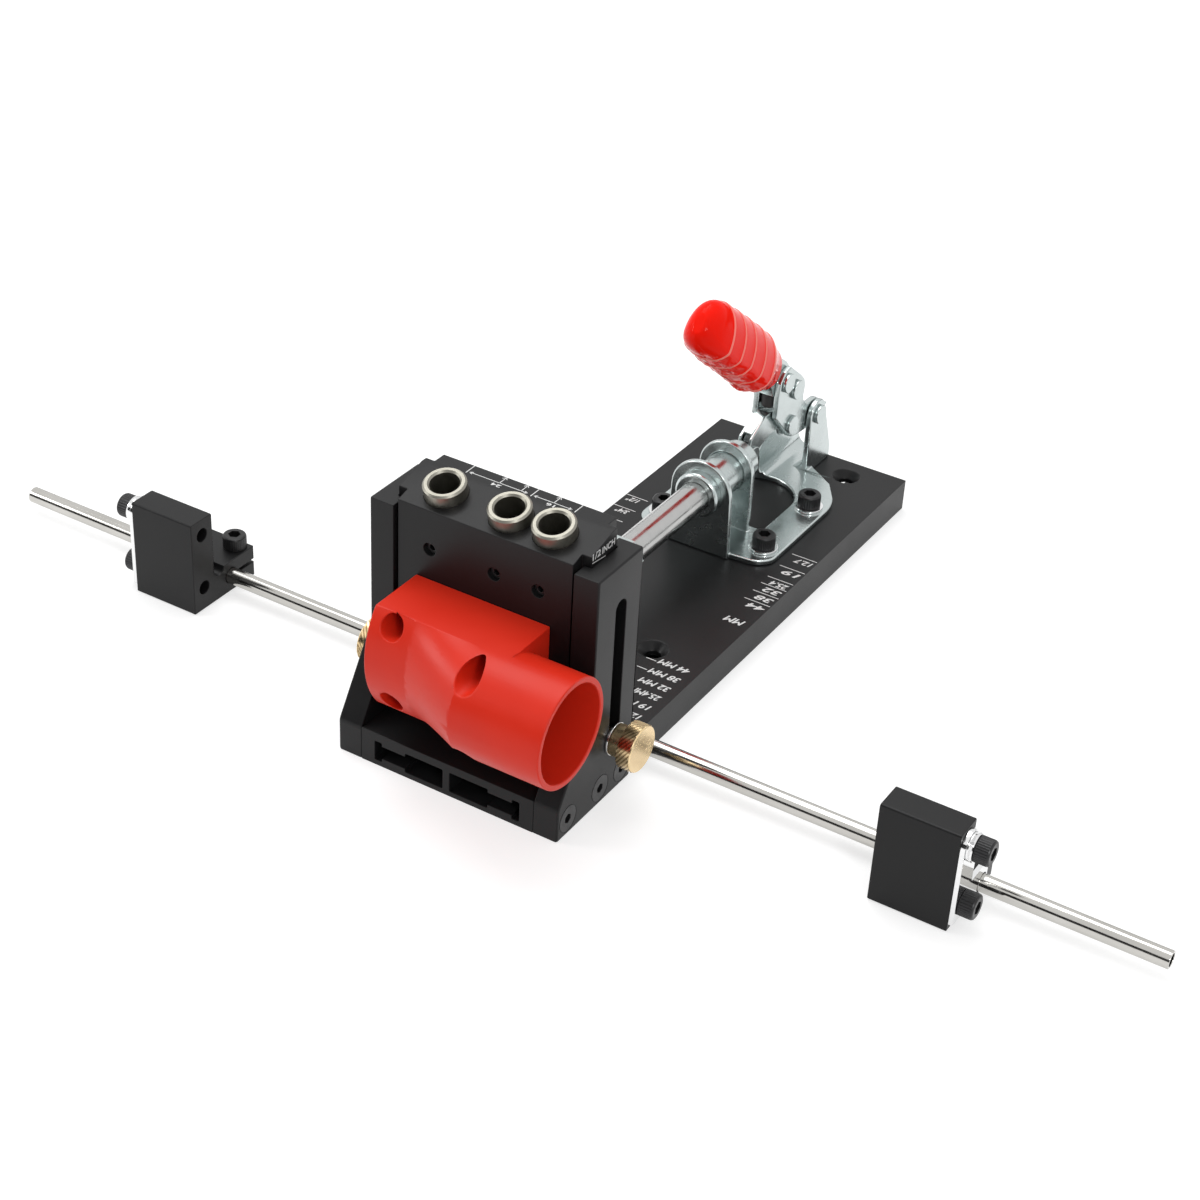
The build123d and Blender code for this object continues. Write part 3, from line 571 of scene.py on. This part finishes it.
def pick_points(test):
    """In edit mode, selects only the points whose place in millimetres passes the test."""
    mesh = bmesh.from_edit_mesh(bpy.context.object.data)
    bpy.ops.mesh.select_mode(type="VERT")
    bpy.ops.mesh.select_all(action="DESELECT")
    for point in mesh.verts:
        point.select_set(test(point.co / MM))
    mesh.select_flush(True)
    bmesh.update_edit_mesh(bpy.context.object.data)


def settled(piece):
    """Puts the object at the origin, with its place in its mesh."""
    only(piece)
    bpy.ops.object.transform_apply(location=True, rotation=True, scale=True)
    return piece


def lathe(name, corners, start, way, tilt, profile):
    """Pulls a disc on along way, through steps of run and radius, and stays in edit mode."""
    radius = profile[0][1]
    bpy.ops.mesh.primitive_circle_add(
        vertices=corners,
        radius=radius * MM,
        location=[part * MM for part in start],
        rotation=[math.radians(part) for part in tilt],
        fill_type="NGON",
    )
    piece = settled(bpy.context.object)
    piece.name = name
    axis = [0.0 if along else part * MM for part, along in zip(start, way)]
    bpy.ops.object.mode_set(mode="EDIT")
    bpy.ops.mesh.select_mode(type="FACE")
    bpy.ops.mesh.select_all(action="SELECT")
    for run, wanted in profile[1:]:
        step = [run * MM * along for along in way]
        bpy.ops.mesh.extrude_region_move(TRANSFORM_OT_translate={"value": step})
        if wanted != radius:
            size = [1 if along else wanted / radius for along in way]
            bpy.ops.transform.resize(value=size, center_override=axis)
        radius = wanted
    return piece


brass = turned_brass()
polished_steel = silver_plate()
lead = 0.35
pitch_x = (knurl_x1 - knurl_x0 - lead) / rows_of_teeth
knob_profile = (
    (0.0, stud_r),
    (neck_x - stud_end, stud_r),
    (0.0, neck_r),
    (0.25, hub_r),
    (knurl_x0 - neck_x - 0.45, hub_r),
    (0.2, hub_r * 0.96),
    (0.0, knob_r - 0.9),
    (lead, root_r),
)
knob_profile += ((pitch_x, root_r),) * rows_of_teeth
knob_profile += ((0.1, face_r + 0.1), (0.25, face_r))
knob_profile += ((knob_face - knurl_x1 - 0.35, face_r * 0.97),)
knob_start = (stud_end, knob_y, knob_z)
knob = lathe(
    "right_height_knob_finished", 2 * teeth, knob_start, (1, 0, 0), (0, 90, 0), knob_profile
)
for ring in face_rings:
    bpy.ops.mesh.inset(thickness=ring * MM)
knurl_start = knurl_x0 + 0.3


def on_a_tooth(p):
    row = round((p.x - knurl_start) / pitch_x)
    line = round(math.atan2(p.z - knob_z, p.y - knob_y) / (math.pi / teeth))
    outside = math.hypot(p.y - knob_y, p.z - knob_z) > root_r - 0.05
    return knurl_start - 0.1 < p.x < knurl_x1 + 0.05 and outside and (row + line) % 2 == 0


pick_points(on_a_tooth)
bpy.ops.transform.resize(
    value=(1, knob_r / root_r, knob_r / root_r), center_override=(0, knob_y * MM, knob_z * MM)
)
bpy.ops.object.mode_set(mode="OBJECT")
shade(knob, brass, angle=12.0)
place_on(knob, "right_knob", brass, "right_height_knob")
other = bpy.data.objects.new("left_height_knob_finished", knob.data.copy())
bpy.context.scene.collection.objects.link(other)
other.data.transform(Matrix.Diagonal((-1, 1, 1, 1)))
only(other)
bpy.ops.object.mode_set(mode="EDIT")
bpy.ops.mesh.select_all(action="SELECT")
bpy.ops.mesh.flip_normals()
bpy.ops.object.mode_set(mode="OBJECT")
shade(other, brass, angle=12.0)
place_on(other, "left_knob", brass, "left_height_knob")
for side in ("left", "right"):
    eased(side + "_knob_washer", 0.2, polished_steel)


# WORK STOPS
# Two anodised L blocks that slide on the rods, each with a mirror-polished steel plate
# on its outer face. Black socket screws hold the plate, the upper one over washers,
# and one more socket screw in the rear arm pinches the block on its rod.
head_r, head_h, shank_r = 4.25, 5.0, 2.5
flutes, flute_deep = 36, 0.16
head_ring, key_wide, key_deep = 0.6, 4.0, 2.8


def closed():
    """Turns all faces of the piece in edit mode outwards and leaves that mode."""
    bpy.ops.mesh.select_all(action="SELECT")
    bpy.ops.mesh.normals_make_consistent(inside=False)
    bpy.ops.object.mode_set(mode="OBJECT")


def cap_screw(shank):
    """An upright socket cap screw with its head's seat at the origin."""
    profile = (
        (0.0, shank_r - 0.4),
        (0.4, shank_r),
        (shank - 0.4, shank_r),
        (0.0, head_r - 0.3),
        (0.15, head_r),
        (0.25, head_r),
        (head_h - 1.4, head_r),
        (0.35, head_r - 0.05),
        (0.4, head_r - 0.25),
        (0.25, head_r - 0.7),
    )
    screw = lathe("cap_screw", 2 * flutes, (0, 0, -shank), (0, 0, 1), (0, 0, 0), profile)
    bpy.ops.mesh.inset(thickness=head_ring * MM)
    pick_points(
        lambda p: 0.3 < p.z < head_h - 0.9
        and round(math.atan2(p.y, p.x) / (math.pi / flutes)) % 2
        and math.hypot(p.x, p.y) > head_r - 0.01
    )
    notch = (head_r - flute_deep) / head_r
    bpy.ops.transform.resize(value=(notch, notch, 1), center_override=(0, 0, 0))
    closed()
    bpy.ops.mesh.primitive_cylinder_add(
        vertices=6,
        radius=key_wide / 2 / math.cos(math.pi / 6) * MM,
        depth=2 * key_deep * MM,
        location=(0, 0, head_h * MM),
    )
    key = settled(bpy.context.object)
    apply(screw, "hexagon_socket", "BOOLEAN", object=key, operation="DIFFERENCE", solver="EXACT")
    bpy.data.objects.remove(key)
    return screw


def screwed_in(node, shank, *seats):
    """Shows copies of one cap screw at their seats, joined, in the node's place."""
    pattern = cap_screw(shank)
    copies = []
    for spot, way in seats:
        copy = bpy.data.objects.new(node + "_copy", pattern.data.copy())
        bpy.context.scene.collection.objects.link(copy)
        turn = Vector(way).to_track_quat("Z", "Y").to_matrix().to_4x4()
        copy.data.transform(Matrix.Translation(Vector(spot) * MM) @ turn)
        copies.append(copy)
    bpy.data.objects.remove(pattern)
    piece = joined(node + "_finished", copies)
    shade(piece, black_oxide, angle=24.0)
    place_on(piece, home_of(node), black_oxide, node)


stop_face, stop_washer_t, stop_shift = 161.2, 1.0, 4.2
screw_y, low_z, high_z = 20.1, 9.0, 30.4
pinch_x, pinch_y = 138.3, 43.2
plate_shank, pinch_shank = 20.0, 11.3
for side, way, shift in (("left", -1, stop_shift), ("right", 1, 0.0)):
    eased(side + "_stop_block", 0.35, black_anodised)
    eased(side + "_stop_plate", 0.2, polished_steel)
    eased(side + "_stop_washers", 0.2, polished_steel)
    low = (way * stop_face + shift, screw_y, low_z)
    high = (way * (stop_face + 2 * stop_washer_t) + shift, screw_y, high_z)
    screwed_in(side + "_stop_screws", plate_shank, (low, (way, 0, 0)), (high, (way, 0, 0)))
    arm = (way * pinch_x + shift, pinch_y, base_h)
    screwed_in(side + "_pinch_screw", pinch_shank, (arm, (0, 0, 1)))


# CLAMP BASE
# One zinc-plated steel sheet, pressed and bent: two ring plates, a flange with a large
# opening, and two ears for the handle.
def zinc_sheet():
    zinc = Finish("zinc_plate")
    cloud = zinc.noise(55.0, 3.0)
    swirl = zinc.noise(170.0, 3.0)
    grain = zinc.noise(2600.0, 2.0)
    return zinc.set(
        Base_Color=zinc.shades(cloud, (0.45, 0.498, 0.494), (0.585, 0.635, 0.63)),
        Metallic=1.0,
        Roughness=zinc.spread(swirl, 0.20, 0.29),
        Normal=zinc.bump(grain, 0.000005, 0.4, zinc.bump(swirl, 0.00004, 0.3)),
    )


zinc_plate = zinc_sheet()
eased("clamp_base", 0.6, zinc_plate, rounds=4)


# GUIDE SLEEVE AND PLUNGER
# A turned sleeve pressed through both ring plates guides the bright round steel plunger.
# Its front end carries a black screw with a lock nut and a rubber pad.
def bright_bar():
    bar = Finish("ground_steel")
    cloud = bar.noise(90.0, 3.0)
    sand = bar.noise(1.0, 2.0, bar.place(stretch=(900.0, 260.0, 900.0)))
    return bar.set(
        Base_Color=bar.shades(cloud, (0.40, 0.40, 0.395), (0.56, 0.56, 0.55)),
        Metallic=1.0,
        Roughness=bar.spread(sand, 0.17, 0.27),
        Normal=bar.bump(sand, 0.000006, 0.5),
    )


bright_steel = bright_bar()
eased("clamp_sleeve", 0.35, zinc_plate, rounds=3)
eased("clamp_plunger", 0.3, bright_steel)
clamp_z = 36.3
spindle_tip, spindle_end, spindle_head_h, spindle_head_r = 56.7, 111.0, 5.3, 6.0
crest_r, thread_root_r, thread_pitch = 4.0, 3.65, 1.25
thread_turns = int((spindle_end - spindle_tip - spindle_head_h) / thread_pitch)
spindle_head = (
    (0.0, spindle_head_r - 0.6),
    (0.6, spindle_head_r),
    (spindle_head_h - 1.0, spindle_head_r),
    (0.4, spindle_head_r * 0.94),
    (0.0, thread_root_r),
)
thread = (
    (0.15 * thread_pitch, thread_root_r),
    (0.35 * thread_pitch, crest_r),
    (0.15 * thread_pitch, crest_r),
    (0.35 * thread_pitch, thread_root_r),
)
spindle = lathe(
    "clamp_spindle_finished",
    48,
    (0, spindle_tip, clamp_z),
    (0, 1, 0),
    (90, 0, 0),
    spindle_head + thread * thread_turns,
)
closed()
shade(spindle, black_oxide, angle=24.0)
place_on(spindle, "plunger", black_oxide, "clamp_spindle")
eased("spindle_nut", 0.4, zinc_plate)
eased("plunger_pin", 0.3, zinc_plate, rounds=3)


def rubber_black():
    rubber = Finish("black_rubber")
    cloud = rubber.noise(300.0, 3.0)
    grain = rubber.noise(3000.0, 2.0)
    return rubber.set(
        Base_Color=rubber.shades(cloud, (0.014, 0.014, 0.014), (0.028, 0.027, 0.026)),
        Roughness=rubber.spread(cloud, 0.52, 0.70),
        Normal=rubber.bump(grain, 0.00005, 0.6),
    )


black_rubber = rubber_black()
eased("clamp_pad", 0.8, black_rubber, rounds=4)


# CLAMP LINK
# A narrow channel folded from zinc-plated strip. It hangs between the plunger's pin and the
# handle, and draws the plunger back as the handle rises.
eased("clamp_link", 0.25, zinc_plate, rounds=3)


# HANDLE
# A flat steel bar between two pressed steel plates, all zinc plated and held together by
# domed rivets. The ear rivet carries it between the ears of the clamp base.
eased("handle_bar", 0.4, zinc_plate)
for side in ("left", "right"):
    eased(side + "_handle_plate", 0.5, zinc_plate, rounds=3)
for node in ("handle_rivets", "link_rivet", "ear_rivet"):
    eased(node, 0.3, zinc_plate, rounds=3)


# GRIP AND BUMPER
# A glossy red vinyl sleeve with five ribs, pushed over the end of the bar, and a small
# black rubber stop fixed under the bar.
grip_foot = (0.0, 184.9, 65.2)
grip_rise = 36.5
slope = math.radians(grip_rise)
grip_start = (grip_foot[1] * math.cos(slope) - grip_foot[2] * math.sin(slope)) * MM
# Each ring: place along the grip, half width, top, bottom and height of its widest line.
ribs = (
    (17.6, 9.1, 10.9, -11.3, -4.5),
    (28.0, 9.4, 11.3, -10.8, -4.5),
    (38.6, 9.4, 11.4, -10.3, -4.5),
    (48.6, 9.3, 11.4, -9.9, -4.5),
    (58.4, 8.8, 11.2, -9.2, -4.2),
)
crest_half = 0.42


def dipped_vinyl():
    vinyl = Finish("red_vinyl")
    cloud = vinyl.noise(60.0, 3.0)
    ripple = vinyl.noise(300.0, 2.0)
    run = grip_start - vinyl.part(vinyl.place(turn=(slope, 0.0, 0.0)), "Y")
    # Painted highlight: a narrow pale band is painted along each rib's crest.
    crest_highlights = sum(abs(run - s * MM) < crest_half * MM for s, *_ in ribs)
    red = vinyl.shades(cloud, (0.90, 0.010, 0.004), (0.98, 0.016, 0.007))
    painted_crest_highlight = (0.97, 0.30, 0.25)
    return vinyl.set(
        Base_Color=vinyl.shades(crest_highlights * 0.8, red, painted_crest_highlight),
        Roughness=vinyl.spread(cloud, 0.07, 0.13),
        Specular_IOR_Level=0.045,
        Normal=vinyl.bump(ripple, 0.00010, 0.35),
    )


lip, end_rings = 0.45, (0.8, 0.5)
rings = [
    (0.0, 4.9, 8.0, -7.4, -0.5),
    (5.0, 5.6, 8.6, -8.4, -1.0),
    (10.0, 7.2, 9.6, -9.8, -2.5),
    (14.0, 8.6, 10.5, -10.8, -4.0),
]
for s, half, top, low, mid in ribs:
    rings.append((s - 0.4, half + lip, top + lip, low - lip, mid))
    rings.append((s, half + lip, top + lip, low - lip, mid))
    rings.append((s + 0.25, half, top, low, mid))
rings += [
    (63.0, 7.9, 10.9, -8.8, -3.2),
    (66.5, 6.5, 9.5, -7.9, -1.4),
    (69.2, 4.2, 6.8, -6.0, -0.4),
    (70.5, 2.2, 3.9, -3.6, 0.0),
]


def pick(test):
    """In edit mode, selects only the faces whose centre and normal pass the test."""
    mesh = bmesh.from_edit_mesh(bpy.context.object.data)
    bpy.ops.mesh.select_mode(type="FACE")
    bpy.ops.mesh.select_all(action="DESELECT")
    for face in mesh.faces:
        face.select_set(test(face.calc_center_median() / MM, face.normal))
    bmesh.update_edit_mesh(bpy.context.object.data)


def stretched(s, mid, size, side=0):
    """Stretches the newest ring about its middle, or only its part on one side of it."""
    pick_points(lambda p: p.z > s - 0.01 and (not side or (p.y - mid) * side > 0.001))
    bpy.ops.transform.resize(value=size, center_override=(0, mid * MM, s * MM))


red_vinyl = dipped_vinyl()
grip = lathe("handle_grip_finished", 40, (0, 0, 0), (0, 0, 1), (0, 0, 0), ((0.0, 1.0),))
s_was, half_was, up_was, down_was, mid_was = 0.0, 1.0, 1.0, 1.0, 0.0
for s, half, top, low, mid in rings:
    if s > s_was:
        pick(lambda centre, way: centre.z > s_was - 0.01 and way.z > 0.9)
        step = (0, (mid - mid_was) * MM, (s - s_was) * MM)
        bpy.ops.mesh.extrude_region_move(TRANSFORM_OT_translate={"value": step})
    else:
        bpy.ops.transform.translate(value=(0, mid * MM, 0))
    up, down = top - mid, mid - low
    stretched(s, mid, (half / half_was, 1, 1))
    stretched(s, mid, (1, up / up_was, 1), 1)
    stretched(s, mid, (1, down / down_was, 1), -1)
    s_was, half_was, up_was, down_was, mid_was = s, half, up, down, mid
for end in (1, -1):
    pick(lambda centre, way: way.z * end > 0.99 and (centre.z > 69.9 or centre.z < 0.1))
    for ring in end_rings:
        bpy.ops.mesh.inset(thickness=ring * MM)
closed()
apply(grip, "smooth_skin", "SUBSURF", levels=2, render_levels=2)
folds_start, folds_end, folds_top, fade_along, fade_down = 7.0, 63.0, -4.5, 6.0, 3.5


def fade(part):
    return min(max(part, 0.0), 1.0)


creased = grip.vertex_groups.new(name="underside")
for point in grip.data.vertices:
    s, n = point.co.z / MM, point.co.y / MM
    along = fade((s - folds_start) / fade_along) * fade((folds_end - s) / fade_along)
    below = fade((folds_top - n) / fade_down)
    creased.add([point.index], along * below, "REPLACE")
folds = bpy.data.textures.new("vinyl_folds", "CLOUDS")
folds.noise_type = "HARD_NOISE"
folds.noise_scale = 0.0058
folds.noise_depth = 2
apply(
    grip,
    "folds",
    "DISPLACE",
    texture=folds,
    texture_coords="LOCAL",
    vertex_group="underside",
    strength=0.0012,
    mid_level=0.45,
)
grip.vertex_groups.clear()
grip.rotation_euler = (math.radians(90.0 - grip_rise), 0, 0)
grip.location = [part * MM for part in grip_foot]
settled(grip)
shade(grip, red_vinyl, angle=50.0)
place_on(grip, home_of("handle_grip"), red_vinyl, "handle_grip")
eased("handle_bumper", 0.5, black_rubber, rounds=3)


# CLAMP FASTENING
# Four black socket cap screws hold the clamp's flange on the base, each over a bright
# steel washer.
clamp_screw_x, clamp_screw_ys = 21.0, (151.0, 186.0)
clamp_seat, clamp_shank = 15.6, 7.0
clamp_seats = [(x, y, clamp_seat) for y in clamp_screw_ys for x in (-clamp_screw_x, clamp_screw_x)]
screwed_in("clamp_screws", clamp_shank, *[(seat, (0, 0, 1)) for seat in clamp_seats])
eased("clamp_washers", 0.2, polished_steel)
